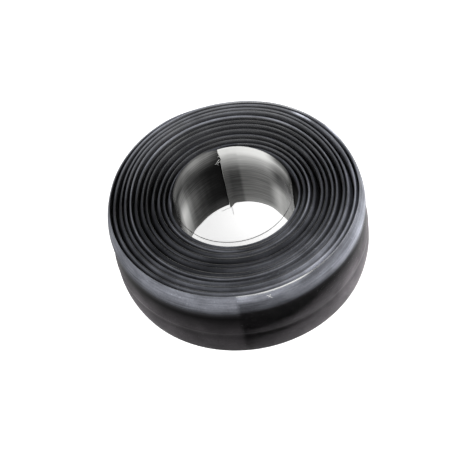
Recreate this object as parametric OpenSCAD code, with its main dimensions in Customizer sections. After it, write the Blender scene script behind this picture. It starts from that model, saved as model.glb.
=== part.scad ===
// Coreless roll of black rubber grip tape, wound with a clear release liner on its inner face.
// Millimetres. The roll stands on its lower tape edges at z = 0, and the bore's axis is the Z axis.
// Azimuths run anticlockwise from +X as seen from above; both strips wind outwards clockwise.

/* [Tape] */
// width of the tape, which is the height of the roll
tape_width = 25.4; // [20:0.1:31]
// thickness of the tape between its flat faces
tape_thickness = 1.05; // [0.85:0.01:1.07]
// thickness left at the two thin edges
edge_thickness = 0.14; // [0.1:0.01:0.2]
// how far the inner face falls back at each edge; the outer face takes the rest
inner_bevel_depth = 0.11; // [0.05:0.01:0.31]
// height of each bevelled edge
bevel_height = 5.4; // [2:0.1:7]
// depth of the shallow hollows between the bevels and the guide rib
hollow_depth = 0.12; // [0:0.01:0.2]
// height of the guide rib's middle above the base
rib_level = 9.9; // [9:0.1:12]
// how far the guide rib stands out of the outer face
rib_height = 0.08; // [0.04:0.01:0.1]
// width of the guide rib at its foot
rib_width = 0.8; // [0.4:0.1:1.5]

/* [Winding] */
// number of turns of tape
turns = 12; // [6:1:15]
// azimuth of the line on which the tape starts and ends
start_azimuth = 96; // [90:1:100]
// radius of the tape's inner face where it starts
near_radius = 18.3; // [15:0.1:22]
// radius of the tape's inner face half a turn later
far_radius = 18; // [15:0.1:22]
// growth of the radius per turn
pitch = 1.56; // [1.54:0.01:1.9]

/* [Liner] */
// thickness of the liner film
liner_thickness = 0.12; // [0.06:0.01:0.16]
// film of adhesive between the tape's inner face and the liner
liner_clearance = 0.02; // [0.01:0.01:0.05]
// gap between the loose inner curl and the tape's cut end
curl_clearance = 0.06; // [0.02:0.01:0.3]
// how far the liner's cut inner end stands back past the tape's cut end, in degrees
liner_overhang = 1.5; // [1:0.1:6]
// how far the liner's tail runs past the far side, in degrees
tail_past_far = 14; // [4:1:60]

/* [Hidden] */
outer_bevel_depth = tape_thickness - edge_thickness - inner_bevel_depth;
bevel_steps = 2;
smooth = 180;

// The strips are drawn with the start line along +Y, so that their arcs meet in exact planes,
// and are then turned to the start azimuth and moved to put the bore's axis on Z.

// radius of the tape's inner face on the start line and on the far line, for turn k
function near(k) = near_radius + k * pitch;
function far(k) = far_radius + k * pitch;

// each turn is two half circles, right (0) and left (1), whose centres lie on the start line
function half_shift(half) = (near(half) - far(0)) / 2;
function half_radius(k, half) = (near(k + half) + far(k)) / 2;
function half_from(half) = -90 + 180 * half;

// the loose curl touches the first turn from inside on its left and clears the tape's cut end
curl_pull = pitch + curl_clearance - liner_clearance;
curl_centre = [-curl_pull, half_shift(1)];
curl_outer = half_radius(0, 1) - liner_clearance - curl_pull;
bore_radius = curl_outer - liner_thickness;

// the tail leaves the wound turns at the tape's outer end and settles on the rib of the last turn
tail_near = near(turns) - liner_clearance;
tail_far = far(turns - 1) + tape_thickness + rib_height + liner_clearance + liner_thickness;
tail_shift = (tail_near - tail_far) / 2;
tail_outer = (tail_near + tail_far) / 2;

// least gap of each strip to itself, measured between points on neighbouring turns
point_step = 5;
function strip_point(k, half, a, out) = [0, half_shift(half)]
    + (half_radius(k, half) + out) * [cos(half_from(half) + a), sin(half_from(half) + a)];
function close(a) = [max(0, a - point_step) : point_step : min(180, a + point_step)];
tape_gaps = [for (k = [0 : turns - 2]) for (half = [0, 1])
    for (a = [0 : point_step : 180]) for (b = close(a))
    norm(strip_point(k, half, a, tape_thickness + rib_height) - strip_point(k + 1, half, b, 0))];
liner_gaps = [for (k = [1 : turns - 2]) for (half = [0, 1])
    for (a = [0 : point_step : 180]) for (b = close(a))
    norm(strip_point(k, half, a, -liner_clearance)
         - strip_point(k + 1, half, b, -liner_clearance - liner_thickness))];
curl_gaps = [for (a = [0 : point_step : 180]) for (c = [-90 : point_step : 90 + liner_overhang])
    norm(curl_centre + curl_outer * [cos(c), sin(c)]
         - strip_point(1, 0, a, -liner_clearance - liner_thickness))];
tape_length = PI * ([for (k = [0 : turns - 1]) half_radius(k, 0) + half_radius(k, 1)
    + tape_thickness] * [for (k = [0 : turns - 1]) 1]);
echo(tape_least_gap = min(tape_gaps), liner_least_gap = min(concat(liner_gaps, curl_gaps)));
echo(tape_length = tape_length, bore_radius = bore_radius);

// turns the wound strips to the start azimuth, with the bore's axis on Z
module placed() {
    rotate([0, 0, start_azimuth - 90])
        translate([-curl_centre[0], -curl_centre[1], 0])
            children();
}

// one arc of a strip: a section revolved about a centre, from an azimuth through a sweep
module arc(centre, from, sweep) {
    translate([centre[0], centre[1], 0])
        rotate_extrude(start = from, angle = sweep, $fn = smooth)
            children();
}

// share of the outer bevel's depth that is still missing, s of the way from the edge to the face
function bevel_left(s) = pow(1 - s, 1.5);

// section of the tape, with its inner face at radius r
module tape_section(r) {
    outside = r + tape_thickness;
    rib_foot = rib_width / 2;
    rib_top = rib_width / 4;
    lower_hollow = (bevel_height + rib_level - rib_foot) / 2;
    upper_hollow = (tape_width - bevel_height + rib_level + rib_foot) / 2;
    lower_outer = [for (i = [0 : bevel_steps])
        [outside - outer_bevel_depth * bevel_left(i / bevel_steps), bevel_height * i / bevel_steps]];
    upper_outer = [for (i = [bevel_steps : -1 : 0])
        [outside - outer_bevel_depth * bevel_left(i / bevel_steps),
         tape_width - bevel_height * i / bevel_steps]];
    rib = [[outside - hollow_depth, lower_hollow],
           [outside, rib_level - rib_foot], [outside + rib_height, rib_level - rib_top],
           [outside + rib_height, rib_level + rib_top], [outside, rib_level + rib_foot],
           [outside - hollow_depth, upper_hollow]];
    inner = [[r + inner_bevel_depth, tape_width], [r, tape_width - bevel_height],
             [r, bevel_height], [r + inner_bevel_depth, 0]];
    polygon(concat(lower_outer, rib, upper_outer, inner));
}

// section of the liner, with its outer face at radius r
module liner_section(r) {
    translate([r - liner_thickness, 0])
        square([liner_thickness, tape_width]);
}

// the tape: one unbroken strip of rubber with thin edges and a guide rib
module grip_tape() {
    color([0.06, 0.06, 0.065])
        placed()
            for (half = [0, 1])
                arc([0, half_shift(half)], half_from(half), 180)
                    for (k = [0 : turns - 1])
                        tape_section(half_radius(k, half));
}

// the liner: loose inner curl, the turns on the tape's inner face, and the tail around the outside
module release_liner() {
    color([0.75, 0.75, 0.72, 0.5])
        placed() {
            arc(curl_centre, -180, 270 + liner_overhang)
                liner_section(curl_outer);
            arc([0, half_shift(1)], 90, 90)
                liner_section(half_radius(0, 1) - liner_clearance);
            for (half = [0, 1])
                arc([0, half_shift(half)], half_from(half), 180)
                    for (k = [1 : turns - 1])
                        liner_section(half_radius(k, half) - liner_clearance);
            arc([0, tail_shift], -90, 180)
                liner_section(tail_outer);
            arc([0, half_shift(1)], 270 - tail_past_far, tail_past_far)
                liner_section(half_radius(turns - 1, 1) + tape_thickness + rib_height
                              + liner_clearance + liner_thickness);
        }
}

grip_tape();
release_liner();
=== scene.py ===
"""A coreless roll of black rubber grip tape with a clear release liner, on a white floor.

Lengths are in millimetres until place() turns them into metres. Azimuths are in degrees,
anticlockwise from +X as seen from above. Both strips wind outwards clockwise, and a turn number
says how far along the tape a place is: 0 at its inner end and 12 at its outer end, both at the back.

Most small shapes and tones are short lists of (place, value) points, which through() and straight()
turn into lines. In a list of tones, 0 is black and 1 is as pale as the material gets.
"""

import math
import random
from functools import partial

import bpy
from mathutils import Matrix, Vector


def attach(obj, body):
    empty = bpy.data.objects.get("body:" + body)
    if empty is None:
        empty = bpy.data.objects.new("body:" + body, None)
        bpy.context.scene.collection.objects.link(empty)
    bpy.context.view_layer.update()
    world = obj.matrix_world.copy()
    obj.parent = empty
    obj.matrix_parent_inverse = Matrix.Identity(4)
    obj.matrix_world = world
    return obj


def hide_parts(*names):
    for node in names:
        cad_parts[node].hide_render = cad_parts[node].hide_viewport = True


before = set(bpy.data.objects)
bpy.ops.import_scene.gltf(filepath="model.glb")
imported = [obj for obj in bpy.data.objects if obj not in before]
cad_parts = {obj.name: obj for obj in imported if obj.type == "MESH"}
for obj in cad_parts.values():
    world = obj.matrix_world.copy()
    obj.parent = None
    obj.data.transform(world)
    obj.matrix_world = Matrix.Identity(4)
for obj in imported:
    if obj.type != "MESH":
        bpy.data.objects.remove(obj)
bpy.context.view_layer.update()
scene = bpy.context.scene

MM = 0.001

# Sizes of the wound strips, as in the solid model.
WIDTH = 25.4
THICK = 1.05
PITCH = 1.56
TURNS = 12
NEAR = 18.3
FAR = 18.0
START_AZIMUTH = 96.0
LINER_GAP = 0.02
CURL_CLEAR = 0.06
TAIL_PAST_FAR = 14.0
BEVEL = 5.4
RIB_LEVEL = 9.9
RIB_HALF = 0.4
RIB_HEIGHT = 0.08

# Places that follow from them: the centres of the right and left half turns on the start line, the
# bore's axis, the angle of the start line from +Y, levels on the tape, and the turn of the seam.
SHIFT = ((NEAR - FAR) / 2, (NEAR + PITCH - FAR) / 2)
BORE = (-(PITCH + CURL_CLEAR - LINER_GAP), SHIFT[1])
START_ANGLE = math.radians(START_AZIMUTH - 90)
RIB_LOW = RIB_LEVEL - RIB_HALF
RIB_HIGH = RIB_LEVEL + RIB_HALF
UPPER_BEVEL = WIDTH - BEVEL
SEAM = TURNS - 0.5 + TAIL_PAST_FAR / 360


def place(x, y, z):
    """Moves a point of the winding, whose start line is +Y, into the row frame."""
    x -= BORE[0]
    y -= BORE[1]
    c = math.cos(START_ANGLE)
    s = math.sin(START_ANGLE)
    return Vector(((c * x - s * y) * MM, (s * x + c * y) * MM, z * MM))


def on_arc(shift, radius, angle, z):
    """A point at a radius and angle about a centre on the start line."""
    return place(radius * math.cos(angle), shift + radius * math.sin(angle), z)


def winding_angle(azimuth):
    """An azimuth of the row frame as an angle of the winding."""
    return math.radians(azimuth - START_AZIMUTH + 90)


def smooth(a, b, x):
    """Rises from 0 at a to 1 at b, level at both ends."""
    t = min(1.0, max(0.0, (x - a) / (b - a)))
    return t * t * (3 - 2 * t)


def steady(a, b, x):
    """Rises from 0 at a to 1 at b in a straight line."""
    return (x - a) / (b - a)


def mix(a, b, t):
    return a + (b - a) * t


def line(points, x, rise):
    """Value at x of a line through (place, value) points, which is flat beyond its ends."""
    if x <= points[0][0]:
        return points[0][1]
    for (a, u), (b, v) in zip(points, points[1:]):
        if x <= b:
            return mix(u, v, rise(a, b, x))
    return points[-1][1]


def through(points, x):
    """A smooth line, level at each point."""
    return line(points, x, smooth)


def straight(points, x):
    """A broken straight line."""
    return line(points, x, steady)


class Wander:
    """A smooth random line along the tape, through evenly spaced knots, read four at a time."""

    READ = 4

    def __init__(self, seed, per_turn, size):
        rng = random.Random(seed)
        self.per_turn = per_turn
        self.knots = [rng.uniform(-size, size) for _ in range(TURNS * per_turn + self.READ)]

    def at(self, turn):
        x = turn * self.per_turn
        i = int(x)
        t = x - i
        a, b, c, d = self.knots[i:i + self.READ]
        return 0.5 * (2 * b + (c - a) * t + (2 * a - 5 * b + 4 * c - d) * t * t
                      + (3 * b - a - 3 * c + d) * t ** 3)


edge_lift = Wander(seed=3, per_turn=5, size=0.14)
edge_sway = Wander(seed=8, per_turn=4, size=0.1)
turn_lift = Wander(seed=31, per_turn=2, size=0.32)
turn_sway = Wander(seed=44, per_turn=2, size=0.3)
turn_tone = Wander(seed=52, per_turn=3, size=1.0)
edge_tone = Wander(seed=14, per_turn=14, size=0.5)

# How the upper edges stand at the back, from the first turn to the last: shift outwards, and the
# painted highlight on the edge. Both fade with the distance from the back, in turns.
BACK_EDGES = [(0.0, 0.0), (-0.1, 0.02), (0.15, 0.0), (0.05, 0.05), (0.5, 0.0), (0.95, 0.03),
              (0.9, 0.0), (0.75, 0.3), (1.35, 0.06), (1.35, 0.1), (0.95, 0.16), (0.45, 0.3),
              (0.0, 0.25)]
BACK_REACH = [(0.08, 1.0), (0.22, 0.0)]

# Share of the wandering that is left, by turn: the last turn lies calmer. The wandering's middle
# and highest point are heights above the flat edge.
CALM = [(TURNS - 1.3, 1.0), (TURNS - 0.9, 0.2)]
LIFT_MIDDLE = -0.22
LIFT_LIMIT = 0.2

# The tape's hidden end, by turn: it is pressed inwards, thinned, and its upper corner drops.
END_PRESS = [(TURNS - 0.15, 0.0), (TURNS, 0.12)]
END_SHARE = [(TURNS - 0.14, 1.0), (TURNS, 0.15)]
END_DROP = [(TURNS - 0.06, 0.0), (TURNS, 0.8)]

# Section of the tape: depth of the outer bevel and swelling of the inner face, by turn; the inner
# bevel; how far the upper edges curl in, by height; and each hollow's foot, top and depth.
LAST_BEVEL_DEPTH = 0.86
BEVEL_DEPTH = [(TURNS - 1.1, 0.66), (TURNS - 0.9, LAST_BEVEL_DEPTH)]
FULL_SWELL = 0.2
SWELL = [(0.0, 0.0), (0.3, FULL_SWELL)]
INNER_BEVEL_DEPTH = 0.31
INNER_BEVEL_POWER = 1.6
EDGE_LEAN = [(WIDTH - 8, 0.0), (WIDTH + 3, 0.6)]
HOLLOWS = [(RIB_HIGH, UPPER_BEVEL, 0.2), (BEVEL, RIB_LOW, 0.14)]


def back_edge(turn):
    """Shift and painted highlight of an upper edge at the back; both are 0 around the front."""
    nearest = min(int(turn + 0.5), TURNS)
    close = through(BACK_REACH, abs(turn - nearest))
    shift, pale = BACK_EDGES[nearest]
    return shift * close, pale * close


def edge_shift(turn):
    """How far a turn's upper edge stands out of line: upwards, and outwards."""
    calm = through(CALM, turn)
    lift = edge_lift.at(turn) + turn_lift.at(turn) + LIFT_MIDDLE
    sway = edge_sway.at(turn) + turn_sway.at(turn)
    return min(LIFT_LIMIT, lift * calm), sway * calm + back_edge(turn)[0]


def half_radius(whole, half):
    """Radius of the tape's inner face on the right (0) or left (1) half of a whole turn."""
    return (NEAR + (whole + half) * PITCH + FAR + whole * PITCH) / 2


def winding(turn):
    """The arc's centre on the start line, radius of the tape's inner face, and angle, at a turn."""
    whole = min(int(turn), TURNS - 1)
    half = 0 if turn - whole < 0.5 else 1
    radius = half_radius(whole, half) - through(END_PRESS, turn)
    return SHIFT[half], radius, math.radians(90 - 360 * turn)


def bevel_left(z):
    """1 at the tape's two edges, falling to 0 where the bevels end."""
    return 1 - min(1.0, min(z, WIDTH - z) / BEVEL)


def outer_face(z, bevel):
    """Outer side of the tape's section, from its inner face: bevels, two hollows and a rib."""
    depth = bevel * bevel_left(z) ** 2
    for low, high, hollow in HOLLOWS:
        if low < z < high:
            t = (z - low) / (high - low)
            depth += hollow * 4 * t * (1 - t)
    rib = RIB_HEIGHT * max(0.0, 1 - ((z - RIB_LEVEL) / RIB_HALF) ** 2)
    return THICK - depth + rib


def inner_face(z, swell):
    """Inner side of the tape's section: swollen in the middle, bevelled at the edges."""
    return -swell + INNER_BEVEL_DEPTH * bevel_left(z) ** INNER_BEVEL_POWER


def edge_lean(z):
    """How far the wound strips' upper edges curl in towards the bore."""
    return through(EDGE_LEAN, z)


def upper_share(z):
    """0 up to half the tape's height, then rising to 1 at its upper edge."""
    return max(0.0, 2 * z / WIDTH - 1)


# Painted sheen and reflection on the rubber, by distance below the upper edge: on the last turn's
# shoulder where it is bare and where film covers it, and on the wall below.
BARE_SHOULDER = [(0, 0.2), (1, 0.19), (3, 0.19), (4, 0.155), (5, 0.11), (6, 0.06), (7, 0.015),
                 (8.4, 0.0)]
COVERED_SHOULDER = [(0, 0.5), (1, 0.5), (3, 0.95), (4, 1.0), (5, 0.8), (6, 0.15), (7, 0.0)]
WALL = [(7, 0.0), (8.4, 0.07), (10.4, 0.3), (12.4, 0.55), (15.1, 0.98), (16, 0.9), (17.4, 0.66),
        (19.4, 1.0), (25.4, 1.2)]

# How those change around the roll, by azimuth. Away from the seam the film carries more painted
# reflection; near it, the wall is darker and the crest carries a painted highlight.
BARE_SHOULDER_GAIN = [(-155, 0.8), (-130, 1.0)]
BARE_WALL_GAIN = [(-200, 0.03), (-165, 0.11), (-150, 0.11), (-135, 0.06), (-120, 0.038), (-98, 0.03)]
BARE_WALL_DARK = 0.15
FILM_SHOULDER_GAIN = [(-98, 0.06), (-75, 0.13), (-60, 0.19), (-45, 0.37), (-30, 0.48), (-15, 0.48),
                      (10, 0.28), (40, 0.14), (96, 0.1)]
FILM_SHOULDER_STRETCH = [(-58, 1.0), (-26, 0.84)]
FILM_WALL_GAIN = [(-98, 0.06), (-75, 0.1), (-60, 0.105), (-45, 0.15), (-30, 0.22), (-15, 0.22),
                  (10, 0.1), (40, 0.05), (96, 0.03)]
FILM_WALL_DARK = [(-98, 0.85), (-75, 0.6), (-60, 0.15), (-45, 0.0), (96, 0.0)]
SEAM_CREST = [(-98, 0.3), (-72, 0.22), (-63, 0.0)]

# How far down the wall's darkening starts and the seam's painted crest highlight ends.
WALL_DARK_DEPTH = [(6, 0.0), (9, 1.0)]
SEAM_CREST_DEPTH = [(0.3, 1.0), (3.4, 0.0)]

# Painted sheen inside the roll, by distance below the upper edge: on both faces of the wound turns,
# and on the first turn's inner face, in the bore.
WOUND_OUTSIDE = [(0, 0.05), (2.0, 0.046), (4.0, 0.05), (5.2, 0.024), (6.5, 0.001)]
WOUND_INSIDE = [(0, 0.022), (2.0, 0.022), (3.5, 0.02), (5.5, 0.003)]
BORE_EDGE = [(0, 0.08), (0.5, 0.14), (2.6, 0.26), (3.6, 0.2), (4.8, 0.07), (6.0, 0.004),
             (25.4, 0.003)]

# Which turns are the first and the last, and which part of the last lies under film, by turn.
FIRST_TURN = [(0.97, 1.0), (1.03, 0.0)]
LAST_TURN = [(TURNS - 1.02, 0.0), (TURNS - 0.98, 1.0)]
UNDER_FILM = [(SEAM - 0.0015, 1.0), (SEAM + 0.0015, 0.0)]

# Sides of the roll, as shares of a turn clockwise from the back. The back goes both ways.
BACK = [(0.1, 1.0), (0.24, 0.0)]
RIGHT = [(0.08, 0.0), (0.24, 1.0), (0.42, 1.0), (0.54, 0.0)]
FRONT = [(0.08, 0.0), (0.24, 1.0), (0.66, 1.0), (0.84, 0.0)]

# How much more painted light the wound edges carry there; the last two gains are for the outer turns.
RIGHT_GAIN = 0.6
OUTER_FRONT_GAIN = 2.0
OUTER_RIGHT_GAIN = 3.0
OUTER_TURNS = [(7.8, 0.0), (10.8, 1.0)]

# Painted highlights on the thin crests: how bright they are at random, what the back takes off that,
# what the last turn and the painted back-edge highlights add, and how far down a crest reaches.
CREST_TONE = 0.13
CREST_BACK_LOSS = 0.7
LAST_CREST = 0.15
BACK_CREST = 0.7
CREST_REACH = 0.4
LAST_CREST_REACH = 0.8

# Painted light in the shaded gaps between turns at the back and on the right, by turn, and its depth.
BACK_GAP_LIGHT = [(6.5, 0.01), (9, 0.03)]
RIGHT_GAP_LIGHT = [(8, 0.0), (10.5, 0.05)]
GAP_LIGHT_DEPTH = [(4, 1.0), (9, 0.0)]

# Glints on the crests at the back right: whole turn, and the azimuths where each starts and ends.
GLINTS = [(10, 40, 52), (11, 22, 33)]
GLINT_TONE = 0.8


def crest_glint(turn):
    """Paleness of the glints, strongest in their middles."""
    azimuth = START_AZIMUTH - 360 * (turn % 1)
    for whole, low, high in GLINTS:
        if int(turn) == whole and low < azimuth < high:
            return GLINT_TONE * (1 - abs(2 * (azimuth - low) / (high - low) - 1) ** 3)
    return 0.0


def bare_side(azimuth, down):
    """Painted sheen on the last turn's outer face where it is bare."""
    shoulder = straight(BARE_SHOULDER, down) * through(BARE_SHOULDER_GAIN, azimuth)
    wall = max(0.0, straight(WALL, down) - BARE_WALL_DARK) * straight(BARE_WALL_GAIN, azimuth)
    return shoulder + wall


def covered_side(azimuth, down):
    """Painted sheen and reflection on the last turn's outer face where film lies on it."""
    stretch = through(FILM_SHOULDER_STRETCH, azimuth)
    shoulder = straight(COVERED_SHOULDER, down * stretch) * straight(FILM_SHOULDER_GAIN, azimuth)
    crest = straight(SEAM_CREST, azimuth) * through(SEAM_CREST_DEPTH, down)
    dark = straight(FILM_WALL_DARK, azimuth) * through(WALL_DARK_DEPTH, down)
    wall = max(0.0, straight(WALL, down) - dark)
    return shoulder + crest + wall * straight(FILM_WALL_GAIN, azimuth)


def painted_rubber_light(turn, z, outside):
    """How pale the painted sheen, highlights and light make the rubber at a turn and height, outer or
    inner face.
    """
    down = WIDTH - z
    last = through(LAST_TURN, turn)
    around = turn % 1
    back = through(BACK, min(around, 1 - around))
    right = through(RIGHT, around)
    front = through(FRONT, around)
    # Painted highlights on the thin crests.
    crest = CREST_TONE * max(0.0, turn_tone.at(turn)) ** 2 * (1 - CREST_BACK_LOSS * back)
    crest += crest_glint(turn) + LAST_CREST * last + BACK_CREST * back_edge(turn)[1]
    outer_gain = OUTER_FRONT_GAIN * front + OUTER_RIGHT_GAIN * right
    # Painted sheen on the wound faces, stronger on the right and on the outer turns.
    wound = through(WOUND_OUTSIDE if outside else WOUND_INSIDE, down)
    wound *= 1 + edge_tone.at(turn)
    wound *= 1 + RIGHT_GAIN * right + outer_gain * through(OUTER_TURNS, turn)
    wound += crest * (1 - smooth(0, mix(CREST_REACH, LAST_CREST_REACH, last), down))
    if not outside:
        # Painted light lifting the shade in the gaps between the turns.
        gap_light = back * through(BACK_GAP_LIGHT, turn) + right * through(RIGHT_GAP_LIGHT, turn)
        wound += gap_light * through(GAP_LIGHT_DEPTH, down)
        return mix(wound, through(BORE_EDGE, down), through(FIRST_TURN, turn))
    if last == 0:
        return wound
    azimuth = START_AZIMUTH - 360 * (turn - TURNS + 1)
    bare = bare_side(azimuth, down)
    return mix(wound, mix(bare, covered_side(azimuth, down), through(UNDER_FILM, turn)), last)


def rubber_gloss(turn, outside):
    """1 where film lies on the rubber, 0 where it is bare."""
    if outside:
        return through(LAST_TURN, turn) * through(UNDER_FILM, turn)
    return through(FIRST_TURN, turn)


def mesh_object(name, verts, faces, material, painted):
    """A smooth piece with a material and painted values, one per point."""
    mesh = bpy.data.meshes.new(name)
    mesh.from_pydata(verts, [], faces)
    mesh.update()
    for layer_name, values in painted.items():
        layer = mesh.attributes.new(layer_name, "FLOAT", "POINT")
        layer.data.foreach_set("value", values)
    obj = bpy.data.objects.new(name, mesh)
    scene.collection.objects.link(obj)
    mesh.materials.append(material)
    for p in mesh.polygons:
        p.use_smooth = True
    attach(obj, "root")
    return obj


def strip_faces(rings, count):
    """Faces of a closed tube of rings, with flat caps on both ends."""
    faces = []
    for i in range(rings - 1):
        for j in range(count):
            k = (j + 1) % count
            a = i * count
            b = a + count
            faces.append((a + j, a + k, b + k, b + j))
    last = (rings - 1) * count
    faces.append(tuple(range(count - 1, -1, -1)))
    faces.append(tuple(range(last, last + count)))
    return faces


def heights(levels, counts):
    """Heights from the lowest level to the highest, with a count of even steps between each two."""
    out = []
    for low, high, count in zip(levels, levels[1:], counts):
        out += [mix(low, high, i / count) for i in range(count)]
    return out + [levels[-1]]


# Rows of points across the strips. The edge bands and the film's rim line have rows of their own.
EDGE_BAND = 1.2
UPPER_BAND = WIDTH - EDGE_BAND
RIM_LINE = 0.5
OUTER_Z = heights([0, EDGE_BAND, BEVEL, RIB_LOW, RIB_HIGH, UPPER_BEVEL, UPPER_BAND, WIDTH],
                  [3, 5, 5, 4, 8, 5, 3])
INNER_Z = heights([0, EDGE_BAND, BEVEL, UPPER_BEVEL, UPPER_BAND, WIDTH], [2, 4, 3, 4, 2])
LINER_Z = heights([0, EDGE_BAND, BEVEL, UPPER_BEVEL, UPPER_BAND, WIDTH - RIM_LINE, WIDTH],
                  [2, 4, 8, 4, 1, 1])
TAPE_ROWS = [(z, True) for z in OUTER_Z] + [(z, False) for z in reversed(INNER_Z)]

# Rings along the strips: per turn of tape and of wound film, on the whole curl, and on the tail.
TAPE_STEPS = 168
WOUND_STEPS = 120
CURL_STEPS = 300
TAIL_STEPS = 150


def build_tape(material):
    """The tape: one unbroken strip of rubber, with its painted sheen, highlights and gloss on its
    points.
    """
    steps = TAPE_STEPS * TURNS
    verts = []
    painted_lights = []
    gloss = []
    for i in range(steps + 1):
        turn = TURNS * i / steps
        shift, radius, angle = winding(turn)
        lift, sway = edge_shift(turn)
        lift -= through(END_DROP, turn)
        swell = through(SWELL, turn)
        bevel = through(BEVEL_DEPTH, turn)
        thin = through(END_SHARE, turn)
        for z, outside in TAPE_ROWS:
            face = inner_face(z, swell)
            if outside:
                face = mix(face, outer_face(z, bevel), thin)
            upper = upper_share(z)
            r = radius + face - edge_lean(z) + sway * upper ** 3
            verts.append(on_arc(shift, r, angle, z + lift * upper))
            painted_lights.append(painted_rubber_light(turn, z, outside))
            gloss.append(rubber_gloss(turn, outside))
    faces = strip_faces(steps + 1, len(TAPE_ROWS))
    # The tone attribute carries the painted sheen and highlights.
    return mesh_object("tape_strip", verts, faces, material,
                       {"tone": painted_lights, "gloss": gloss})


# Thickness of the liner on its three stretches.
CURL_THICK = 0.08
WOUND_THICK = 0.06
TAIL_THICK = 0.05

# The loose curl: azimuth, running clockwise from the torn end, and radius about the winding's
# middle. The film itself starts and stops at the two azimuths below.
CURL = [(97.5, 18.05), (88, 18.03), (75, 17.85), (60, 17.35), (40, 16.75), (15, 16.3),
        (-15, 16.1), (-45, 16.05), (-90, 16.3), (-130, 16.75), (-165, 17.2), (-200, 18.1),
        (-230, 19.05), (-264, 19.62)]
TORN_END = 97.2
CURL_STOP = -264.0

# How far the curl's lower edge leans in from its upper edge, by azimuth. The torn end's lower
# corner hangs further in, by azimuth and by height.
LOW_LEAN = [(-264, 0.15), (-262.8, 1.85), (-230, 2.0), (-217, 1.5), (-200, 0.9), (-170, 0.2),
            (-150, 0.0), (-10, 0.0), (15, 0.9), (39, 0.8), (56, 0.1), (66, 0.0)]
TORN_CORNER = [(90, 0.0), (TORN_END, 1.3)]
TORN_CORNER_HEIGHT = [(0, 1.0), (7, 0.0)]

# How fully the curl lies on the tape, by azimuth, how far its edges flare where it doesn't, and how
# ragged its torn end is, in degrees by height.
CURL_SEAT = [(-240, 1.0), (-150, 0.0)]
LOOSE_FLARE = 0.12
FRAY = [(17, 0.4), (22, 1.1)]
FRAY_SEED = 21

# Paleness of the loose film against the black rubber behind it, its milky haze with painted highlight
# on it, by distance below its upper edge: at the back, where it touches the rubber, and on the right,
# where it changes with the azimuth.
FILM_TOP = [(0, 0.7), (0.5, 1.0), (2.4, 1.0), (4.6, 0.6), (6.5, 0.42), (8, 0.27), (10, 0.17),
            (13, 0.15), (18, 0.18), (22, 0.24), (25.4, 0.42)]
FILM_CONTACT = [(0, 0.7), (0.5, 1.0), (2.4, 0.97), (3.6, 0.66), (6.5, 0.38), (8, 0.19), (10, 0.095),
                (13, 0.055), (18, 0.07), (22, 0.12), (25.4, 0.2)]
FILM_SIDE = [(0, 0.1), (1.2, 0.25), (2.4, 0.52), (3.6, 0.27), (5, 0.15), (7, 0.035), (9, 0.035),
             (11, 0.07), (15, 0.48), (18, 0.56), (25.4, 0.56)]
SIDE_GAIN = [(0, 0.12), (10, 0.2), (20, 0.75), (30, 1.0), (40, 1.3)]

# The azimuths of the back and of the contact.
FILM_BACK = [(36, 0.0), (54, 1.0)]
CONTACT = [(79.5, 0.0), (83, 1.0), (90, 1.0), (95, 0.5)]

# The same on the left: the painted sheen of the ledge at the top and a painted reflection on the
# wall, each by azimuth and by distance below the upper edge, and the foot. Here azimuths are a full
# circle more than the curl's own.
LEDGE = [(0, 0.07), (1.2, 0.32), (2.4, 0.28), (3.6, 0.17), (5.0, 0.08), (6.5, 0.015), (8, 0.0)]
LEDGE_GAIN = [(97, 0.35), (110, 0.85), (122, 1.2), (134, 0.9), (146, 0.7), (170, 0.6)]
LEFT_WALL = [(97, 0.0), (110, 0.01), (116, 0.035), (122, 0.085), (134, 0.22), (140, 0.42),
             (146, 0.9), (150, 1.0), (154, 1.0), (158, 0.5), (163, 0.18), (168, 0.1)]
LEFT_WALL_DEPTH = [(5, 0.0), (7.5, 0.25), (8.5, 0.25), (15, 1.0)]
LEFT_FOOT = [(20, 0.0), (25.4, 0.12)]

# How much of the film shows. The loose film is drawn solid near the rubber, with the rubber and its
# shade painted into its colour, and hardly there at the front, by azimuth, except for the painted
# dark shade line of its upper edge, by azimuth and by distance below the edge.
NEAR_RUBBER = [(-200, 1.0), (-188, 0.0), (-14, 0.0), (6, 1.0)]
CLEAR_COVER = 0.02
FRONT_LINE = [(-178, 0.0), (-160, 1.0), (-40, 1.0), (-16, 0.0)]
FRONT_LINE_DEPTH = [(0, 1.0), (RIM_LINE, 0.0)]
FRONT_LINE_COVER = 0.8

# Between the turns it hardly shows either, but for a faint painted highlight on its upper edge, by
# distance below that edge. It is black up to the given turn, where it goes in behind the tape's first
# turn.
WOUND_COVER = [(0, 0.06), (0.7, 0.01)]
BLACK_UNTIL = 1.05

# The tail is all but clear, with bright glints along its upper edge, by azimuth. It settles on the
# last turn within a few degrees of the tape's end.
TAIL_GLINT = [(-100, 0.25), (-91, 0.3), (-84, 0.65), (-70, 0.7), (-60, 0.08), (-10, 0.05), (28, 0.2),
              (36, 0.85), (42, 0.3), (52, 0.8), (60, 0.5), (84, 0.4), (92, 0.01)]
TAIL_COVER = 0.0005
TAIL_SETTLE = [(0, 0.0), (7, 1.0)]

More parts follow.
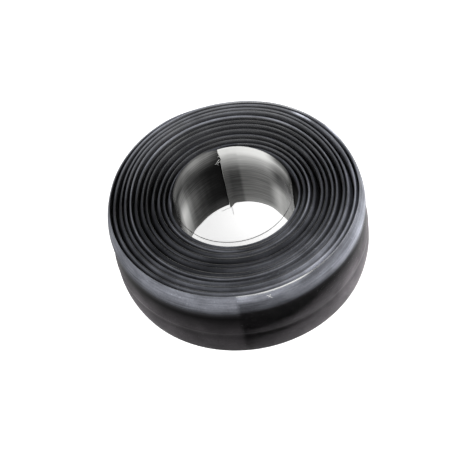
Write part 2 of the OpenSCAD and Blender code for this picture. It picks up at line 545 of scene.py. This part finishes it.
# Loose fibres: azimuth, radius about the winding's middle, and height. The pale ones stand at the
# torn end and on the front shoulder, and the dark ones, darkened with painted shade, lie at the torn
# end's foot.
PALE_FIBRES = [
    [(97.2, 17.9, 21.0), (98.6, 17.6, 21.5), (100.4, 17.3, 21.3), (102.4, 17.2, 20.6),
     (103.4, 17.3, 20.7)],
    [(97.2, 17.9, 20.3), (99.2, 17.5, 20.7), (101.2, 17.4, 20.2), (99.8, 17.3, 19.6)],
    [(97.2, 17.9, 22.6), (98.2, 17.7, 23.0), (99.0, 17.6, 22.7)],
    [(-85.1, 35.46, 24.4), (-84.4, 35.6, 24.0), (-83.7, 35.76, 23.6), (-83.0, 35.9, 23.2)],
    [(-84.0, 35.68, 23.8), (-83.7, 35.58, 24.1), (-83.4, 35.48, 24.4)],
]
DARK_FIBRES = [
    [(97.0, 16.9, 0.9), (96.3, 16.8, 0.5), (95.8, 16.5, 0.3), (96.0, 15.2, 0.25), (96.5, 13.8, 0.2)],
    [(95.8, 16.7, 0.3), (98.2, 16.5, 0.4), (100.7, 16.5, 0.4), (104.2, 16.4, 0.3),
     (107.1, 16.6, 0.2)],
]
PALE_FIBRE_TONE = 0.95
DARK_FIBRE_TONE = 0.05
FIBRE_RADIUS = 0.05
FIBRE_SIDES = 5
FIBRE_TWIST = Vector((0.3, 0.5, 0.8))


def curl_radius(azimuth):
    """Radius of the curl's outer face at its middle height, on a smooth curve through CURL."""
    for i in range(len(CURL) - 1):
        if CURL[i][0] >= azimuth >= CURL[i + 1][0]:
            break
    x0, y0 = CURL[max(i - 1, 0)]
    x1, y1 = CURL[i]
    x2, y2 = CURL[i + 1]
    x3, y3 = CURL[min(i + 2, len(CURL) - 1)]
    h = x2 - x1
    m1 = (y2 - y0) / (x2 - x0)
    m2 = (y3 - y1) / (x3 - x1)
    t = (azimuth - x1) / h
    return ((1 + 2 * t) * (1 - t) ** 2 * y1 + t * (1 - t) ** 2 * h * m1
            + t * t * (3 - 2 * t) * y2 + t * t * (t - 1) * h * m2)


def curl_lean(azimuth, z):
    """Lean of the curl at a height; the torn end's lower corner hangs further in."""
    corner = through(TORN_CORNER, azimuth) * through(TORN_CORNER_HEIGHT, z)
    return through(LOW_LEAN, azimuth) * (1 - z / WIDTH) + corner


def curl_outside(azimuth, z):
    """Radius of the loose curl's outer face."""
    seat = through(CURL_SEAT, azimuth)
    flare = mix(LOOSE_FLARE, INNER_BEVEL_DEPTH, seat) * bevel_left(z) ** INNER_BEVEL_POWER
    return curl_radius(azimuth) + flare - seat * edge_lean(z) - curl_lean(azimuth, z)


def wound_outside(radius, sway, z):
    """Radius of the liner's outer face where it lies on the tape's inner face."""
    seat = radius + inner_face(z, FULL_SWELL) - LINER_GAP
    return seat - edge_lean(z) + sway * upper_share(z) ** 3


def tail_outside(radius, settle, z):
    """Radius of the tail's outer face as it leaves the tape's end and settles on the last turn."""
    loose = radius + PITCH + inner_face(z, FULL_SWELL) - LINER_GAP
    tight = radius + outer_face(z, LAST_BEVEL_DEPTH) + LINER_GAP + TAIL_THICK
    return mix(loose, tight, settle) - edge_lean(z)


def front_line(azimuth, z):
    """Strength of the painted dark shade line of the film's upper edge where it stands clear at the
    front.
    """
    return through(FRONT_LINE, azimuth) * through(FRONT_LINE_DEPTH, WIDTH - z)


def film_haze_and_highlight(azimuth, down):
    """Paleness of the loose film apart from the dark line: milky haze with painted highlight and
    sheen.
    """
    if azimuth < -90:
        turned = azimuth + 360
        ledge = through(LEDGE, down) * through(LEDGE_GAIN, turned)
        wall = through(LEFT_WALL, turned) * through(LEFT_WALL_DEPTH, down)
        return min(1.0, ledge + wall + through(LEFT_FOOT, down))
    contact = through(CONTACT, azimuth)
    back = mix(through(FILM_TOP, down), through(FILM_CONTACT, down), contact)
    side = through(FILM_SIDE, down) * through(SIDE_GAIN, azimuth)
    return min(1.0, mix(side, back, through(FILM_BACK, azimuth)))


def film_pale(azimuth, z):
    """Paleness of the loose film's colour: its haze and painted highlight, less the painted shade
    line.
    """
    return film_haze_and_highlight(azimuth, WIDTH - z) * (1 - front_line(azimuth, z))


def film_cover(azimuth, z):
    """How much of the loose film shows: all of it near the rubber, and hardly any at the front."""
    solid = max(through(NEAR_RUBBER, azimuth), FRONT_LINE_COVER * front_line(azimuth, z))
    return mix(CLEAR_COVER, 1.0, solid)


def wound_cover(z):
    """How much of the film shows between the turns."""
    return through(WOUND_COVER, WIDTH - z)


def tail_cover(azimuth, z):
    """How much of the tail shows: the glints on its upper edge, and hardly any below."""
    return mix(through(TAIL_GLINT, azimuth), TAIL_COVER, smooth(0, RIM_LINE, WIDTH - z))


def black(z):
    """Tone of film that is black at every height."""
    return 0.0


def white(z):
    """Tone of film that is as pale as it gets at every height."""
    return 1.0


class FilmStrip:
    """The liner's points as they are added, with how much each one shows and how pale it is."""

    def __init__(self):
        rng = random.Random(FRAY_SEED)
        self.rows = [(z, rng.uniform(-1, 1) * through(FRAY, z)) for z in LINER_Z]
        self.rings = 0
        self.verts = []
        self.covers = []
        self.pales = []

    def add_ring(self, shift, angle, thick, outside, cover, tone, ragged=0.0):
        """One ring, from functions of the height; ragged is how much of the fray it takes."""
        for inset, rows in ((0.0, self.rows), (thick, reversed(self.rows))):
            for z, fray in rows:
                a = angle + math.radians(ragged * fray)
                self.verts.append(on_arc(shift, outside(z) - inset, a, z))
                self.covers.append(cover(z))
                self.pales.append(cover(z) * tone(z))
        self.rings += 1

    def add_curl(self):
        for i in range(CURL_STEPS + 1):
            azimuth = mix(TORN_END, CURL_STOP, i / CURL_STEPS)
            self.add_ring(0.0, winding_angle(azimuth), CURL_THICK, partial(curl_outside, azimuth),
                          partial(film_cover, azimuth), partial(film_pale, azimuth),
                          ragged=1.0 if i == 0 else 0.0)

    def add_wound_turns(self):
        steps = WOUND_STEPS * (TURNS - 1)
        for i in range(1, steps + 1):
            turn = 1 + (TURNS - 1) * i / steps
            shift, radius, angle = winding(turn)
            sway = edge_shift(turn)[1]
            self.add_ring(shift, angle, WOUND_THICK, partial(wound_outside, radius, sway),
                          wound_cover, black if turn < BLACK_UNTIL else white)

    def add_tail(self):
        for i in range(1, TAIL_STEPS + 1):
            along = (180 + TAIL_PAST_FAR) * i / TAIL_STEPS
            half = 0 if along <= 180 else 1
            radius = half_radius(TURNS - 1, half)
            settle = through(TAIL_SETTLE, along)
            self.add_ring(SHIFT[half], math.radians(90 - along), mix(WOUND_THICK, TAIL_THICK, settle),
                          partial(tail_outside, radius, settle),
                          partial(tail_cover, START_AZIMUTH - along), white)

    def add_fibre(self, path, tone, faces):
        """A thin bent tube along a few points, closed at both ends."""
        centres = [on_arc(0.0, radius, winding_angle(azimuth), z) for azimuth, radius, z in path]
        start = len(self.verts)
        for i, centre in enumerate(centres):
            ahead = centres[min(i + 1, len(centres) - 1)] - centres[max(i - 1, 0)]
            across = ahead.cross(FIBRE_TWIST).normalized()
            above = ahead.cross(across).normalized()
            for j in range(FIBRE_SIDES):
                t = math.tau * j / FIBRE_SIDES
                aside = across * math.cos(t) + above * math.sin(t)
                self.verts.append(centre + aside * FIBRE_RADIUS * MM)
                self.covers.append(1.0)
                self.pales.append(tone)
        tube = strip_faces(len(centres), FIBRE_SIDES)
        faces += [tuple(start + k for k in face) for face in tube]


def build_liner(material):
    """The liner: the curl, the wound turns and the tail as one strip, and the loose fibres."""
    strip = FilmStrip()
    strip.add_curl()
    strip.add_wound_turns()
    strip.add_tail()
    faces = strip_faces(strip.rings, 2 * len(LINER_Z))
    for fibres, tone in ((PALE_FIBRES, PALE_FIBRE_TONE), (DARK_FIBRES, DARK_FIBRE_TONE)):
        for path in fibres:
            strip.add_fibre(path, tone, faces)
    # The pale attribute carries the film's haze with its painted highlight and shade.
    return mesh_object("liner_film", strip.verts, faces, material,
                       {"cover": strip.covers, "pale": strip.pales})


class Nodes:
    """Short calls for building one material's node tree."""

    def __init__(self, name):
        self.material = bpy.data.materials.new(name)
        self.material.use_nodes = True
        self.tree = self.material.node_tree
        self.shader = self.tree.nodes["Principled BSDF"]

    def feed(self, value, socket):
        """Links a node's output to a socket, or sets the socket to a number or colour."""
        if isinstance(value, bpy.types.NodeSocket):
            self.tree.links.new(value, socket)
        elif isinstance(value, tuple):
            socket.default_value = (*value, 1)
        else:
            socket.default_value = value

    def shade(self, values):
        """Feeds the shader's sockets, by name, and returns the material."""
        for name, value in values.items():
            self.feed(value, self.shader.inputs[name])
        return self.material

    def add(self, kind, **settings):
        node = self.tree.nodes.new(kind)
        for key, value in settings.items():
            setattr(node, key, value)
        return node

    def coords(self):
        return self.add("ShaderNodeTexCoord").outputs["Object"]

    def painted(self, name):
        return self.add("ShaderNodeAttribute", attribute_name=name).outputs["Fac"]

    def noise(self, vector, scale, detail):
        node = self.add("ShaderNodeTexNoise")
        self.feed(vector, node.inputs["Vector"])
        self.feed(scale, node.inputs["Scale"])
        self.feed(detail, node.inputs["Detail"])
        return node.outputs["Fac"]

    def streaks(self, vector, across, upwards):
        """Noise drawn out along the strips, with its two scales per metre."""
        node = self.add("ShaderNodeMapping")
        self.feed(vector, node.inputs["Vector"])
        node.inputs["Scale"].default_value = (across, across, upwards)
        return self.noise(node.outputs[0], scale=1.0, detail=3.0)

    def math(self, operation, *values, clamp=False):
        node = self.add("ShaderNodeMath", operation=operation, use_clamp=clamp)
        for value, socket in zip(values, node.inputs):
            self.feed(value, socket)
        return node.outputs[0]

    def spread(self, value, low, high):
        """A value from 0 to 1, spread from low to high."""
        return self.math("MULTIPLY_ADD", value, high - low, low)

    def ramp(self, value, stops):
        """Colours by value, from two (value, colour) stops."""
        node = self.add("ShaderNodeValToRGB")
        self.feed(value, node.inputs[0])
        for element, (position, colour) in zip(node.color_ramp.elements, stops):
            element.position = position
            element.color = (*colour, 1)
        return node.outputs[0]

    def blend(self, factor, a, b):
        """Colour a where the factor is 0, and b where it is 1."""
        node = self.add("ShaderNodeMix", data_type="RGBA")
        # The sockets for colours are the sixth and seventh after the factor, and the third output.
        for value, index in ((factor, 0), (a, 6), (b, 7)):
            self.feed(value, node.inputs[index])
        return node.outputs[2]


def grey(v):
    return (v, v, v)


# Colours of the rubber, its painted sheen on the wall and on the upper edges, and the film; how
# strongly the painted sheen's patches stand out; the rubber's roughness; and the least cover that the
# film divides by.
BLACK_RUBBER = (0.001, 0.0009, 0.0011)
WARM_SHEEN = (0.95, 0.88, 0.94)
COOL_SHEEN = (0.85, 0.88, 1.0)
BLACK_FILM = grey(0.001)
PALE_FILM = (0.95, 0.95, 0.93)
WHITE = grey(1)
PATCH_CONTRAST = 1.3
BARE_ROUGHNESS = 0.43
COVERED_ROUGHNESS = 0.29
LEAST_COVER = 0.0001


def rubber_material():
    """Black rubber under patchy painted sheen, streaked on the upper edges, with specks and dust."""
    n = Nodes("black_rubber")
    coords = n.coords()
    split = n.add("ShaderNodeSeparateXYZ")
    n.feed(coords, split.inputs[0])
    level = n.math("MULTIPLY", split.outputs["Z"], 1 / (WIDTH * MM))
    broad = n.noise(coords, scale=160.0, detail=3.0)
    upper = n.ramp(level, [(0.6, grey(0.25)), (0.78, WHITE)])
    streaks = n.blend(upper, grey(0.5), n.streaks(coords, across=90.0, upwards=1500.0))
    patches = n.math("POWER", n.math("ADD", broad, streaks), PATCH_CONTRAST)
    specks = n.spread(n.noise(coords, scale=2600.0, detail=4.0), low=0.65, high=1.35)
    dust = n.ramp(n.noise(coords, scale=1400.0, detail=1.0), [(0.7, WHITE), (0.78, grey(1.6))])
    # The painted sheen: the painted tone, made patchy and speckled.
    painted_sheen = n.math("MULTIPLY", n.math("MULTIPLY", n.painted("tone"), patches), specks)
    amount = n.math("MULTIPLY", painted_sheen, dust, clamp=True)
    # Colour of the painted sheen: warmer low on the wall, cooler on the upper edges.
    pale = n.ramp(level, [(0.62, WARM_SHEEN), (0.76, COOL_SHEEN)])
    return n.shade({
        "Base Color": n.blend(amount, BLACK_RUBBER, pale),
        "Roughness": n.spread(n.painted("gloss"), BARE_ROUGHNESS, COVERED_ROUGHNESS),
        "Specular IOR Level": 0.006,
        "Sheen Weight": 0.06,
        "Sheen Roughness": 0.25,
    })


def film_material():
    """Hazy film with painted highlight and shade, from black to pale and from clear to solid, with
    fine streaks along it.
    """
    n = Nodes("clear_film")
    streaks = n.streaks(n.coords(), across=120.0, upwards=2600.0)
    streaky = n.spread(streaks, low=0.55, high=1.45)
    cover = n.painted("cover")
    share = n.math("DIVIDE", n.painted("pale"), n.math("MAXIMUM", cover, LEAST_COVER), clamp=True)
    return n.shade({
        "Base Color": n.blend(n.math("POWER", share, streaky), BLACK_FILM, PALE_FILM),
        "Alpha": n.math("POWER", cover, streaky),
        "Roughness": 0.12,
        "Specular IOR Level": 0.035,
    })


# Half the floor's width in metres, how brightly it glows, and how bright the world is.
FLOOR_HALF = 3
FLOOR_GLOW = 0.7
WORLD_LIGHT = 0.3


def floor_material():
    """White that takes the roll's shadow and glows only for the rays that look at it."""
    n = Nodes("white_floor")
    path = n.add("ShaderNodeLightPath").outputs
    mirrored = n.math("MAXIMUM", path["Is Glossy Ray"], path["Is Transmission Ray"])
    seen = n.math("MAXIMUM", path["Is Camera Ray"], mirrored)
    return n.shade({
        "Base Color": grey(0.93),
        "Roughness": 0.9,
        "Specular IOR Level": 0.0,
        "Emission Color": WHITE,
        "Emission Strength": n.math("MULTIPLY", seen, FLOOR_GLOW),
    })


def build_floor():
    corners = [(FLOOR_HALF * x, FLOOR_HALF * y, 0) for x, y in ((-1, -1), (1, -1), (1, 1), (-1, 1))]
    mesh = bpy.data.meshes.new("floor")
    mesh.from_pydata(corners, [], [(0, 1, 2, 3)])
    mesh.materials.append(floor_material())
    obj = bpy.data.objects.new("floor", mesh)
    scene.collection.objects.link(obj)


def build_world():
    world = bpy.data.worlds.new("studio")
    scene.world = world
    world.use_nodes = True
    background = world.node_tree.nodes["Background"]
    background.inputs["Color"].default_value = (1, 1, 1, 1)
    background.inputs["Strength"].default_value = WORLD_LIGHT


def add_lamp(name, spot, size, power):
    """A square lamp, in metres and watts, aimed at the origin."""
    data = bpy.data.lights.new(name, "AREA")
    data.shape = "RECTANGLE"
    data.size = size
    data.size_y = size
    data.energy = power
    obj = bpy.data.objects.new(name, data)
    obj.location = spot
    obj.rotation_euler = (-Vector(spot)).to_track_quat("-Z", "Y").to_euler()
    scene.collection.objects.link(obj)


# The photograph's view: degrees above the floor and of roll, metres from the roll's middle, lens
# in millimetres, and how far the picture's middle is off the lens's, in the photograph's pixels.
ELEVATION = 51.32
ROLL = -11.3
DISTANCE = 0.4416
LENS = 119.63
SENSOR = 36
OFF_CENTRE = (-9.2, -8.7)
PHOTO_PIXELS = 463


def build_camera():
    elevation = math.radians(ELEVATION)
    roll = math.radians(ROLL)
    back = Vector((0, -math.cos(elevation), math.sin(elevation)))
    right = Vector((1, 0, 0))
    up = Vector((0, math.sin(elevation), math.cos(elevation)))
    across = math.cos(roll) * right + math.sin(roll) * up
    above = -math.sin(roll) * right + math.cos(roll) * up
    spot = place(0, 0, WIDTH / 2) + back * DISTANCE
    data = bpy.data.cameras.new("camera")
    data.sensor_width = SENSOR
    data.lens = LENS
    data.shift_x = OFF_CENTRE[0] / PHOTO_PIXELS
    data.shift_y = OFF_CENTRE[1] / PHOTO_PIXELS
    data.clip_start = 0.01
    obj = bpy.data.objects.new("camera", data)
    obj.matrix_world = Matrix((
        (across.x, above.x, back.x, spot.x),
        (across.y, above.y, back.y, spot.y),
        (across.z, above.z, back.z, spot.z),
        (0, 0, 0, 1)))
    scene.collection.objects.link(obj)
    scene.camera = obj


build_camera()
build_floor()
build_world()
add_lamp("key", spot=(-0.42, -0.52, 0.56), size=0.6, power=7.0)
add_lamp("side", spot=(0.7, 0.0, 0.5), size=0.25, power=4.2)

tape = build_tape(rubber_material())
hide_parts("grip_tape")
liner = build_liner(film_material())
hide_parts("release_liner")

scene.view_settings.view_transform = "Standard"
